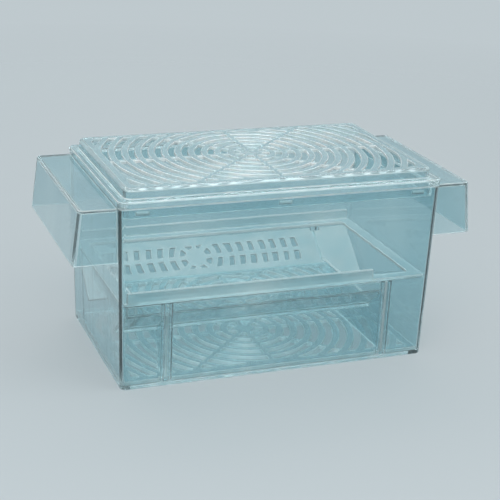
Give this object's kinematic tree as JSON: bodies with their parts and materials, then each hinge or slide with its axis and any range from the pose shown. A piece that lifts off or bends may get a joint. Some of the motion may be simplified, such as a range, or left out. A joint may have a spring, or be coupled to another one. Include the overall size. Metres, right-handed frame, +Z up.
{
  "type": "fish breeding box",
  "caption": "Clear floating fish breeding box: tapered tank with hollow side floats, slotted floor, slotted lid and a lift-out spawning insert with sloped sides and slotted tray.",
  "frame": {"origin": "centre of the underside, on the surface the box stands on", "axes": "+X along the width towards the right float, -Y towards the front face, +Z up"},
  "size_m": [0.199, 0.097, 0.0963],
  "materials": {
    "clear_tank": "clear water-white polystyrene, polished, faint blue-green tint",
    "clear_lid": "clear polystyrene, polished, with fine flow lines between the slots",
    "clear_grid": "clear polystyrene, lightly satin on the slot edges",
    "clear_insert": "clear polystyrene, polished"
  },
  "bodies": {
    "tank": {"tank_body": "clear_tank", "float_left": "clear_tank", "float_right": "clear_tank"},
    "lid": {"lid": "clear_lid"},
    "insert": {"tray_frame": "clear_insert", "front_lip": "clear_insert", "back_ramp": "clear_insert", "support_plate": "clear_insert", "end_plate": "clear_insert"},
    "tray": {"tray_grid": "clear_grid"},
    "floor": {"floor_grid": "clear_grid"}
  },
  "joints": [
    {"name": "lid_lift", "type": "slide", "parent": "tank", "child": "lid", "axis": [0, 0, 1], "range_m": [0, 0.2]},
    {"name": "insert_lift", "type": "slide", "parent": "tank", "child": "insert", "axis": [0, 0, 1], "range_m": [0, 0.15]},
    {"name": "floor_lift", "type": "slide", "parent": "tank", "child": "floor", "axis": [0, 0, 1], "range_m": [0, 0.095]},
    {"name": "tray_lift", "type": "slide", "parent": "insert", "child": "tray", "axis": [0, 0, 1], "range_m": [0, 0.05]}
  ],
  "couplings": [
    {"joint": "insert_lift", "follows": "lid_lift", "ratio": 0.75},
    {"joint": "floor_lift", "follows": "lid_lift", "ratio": 0.475}
  ]
}
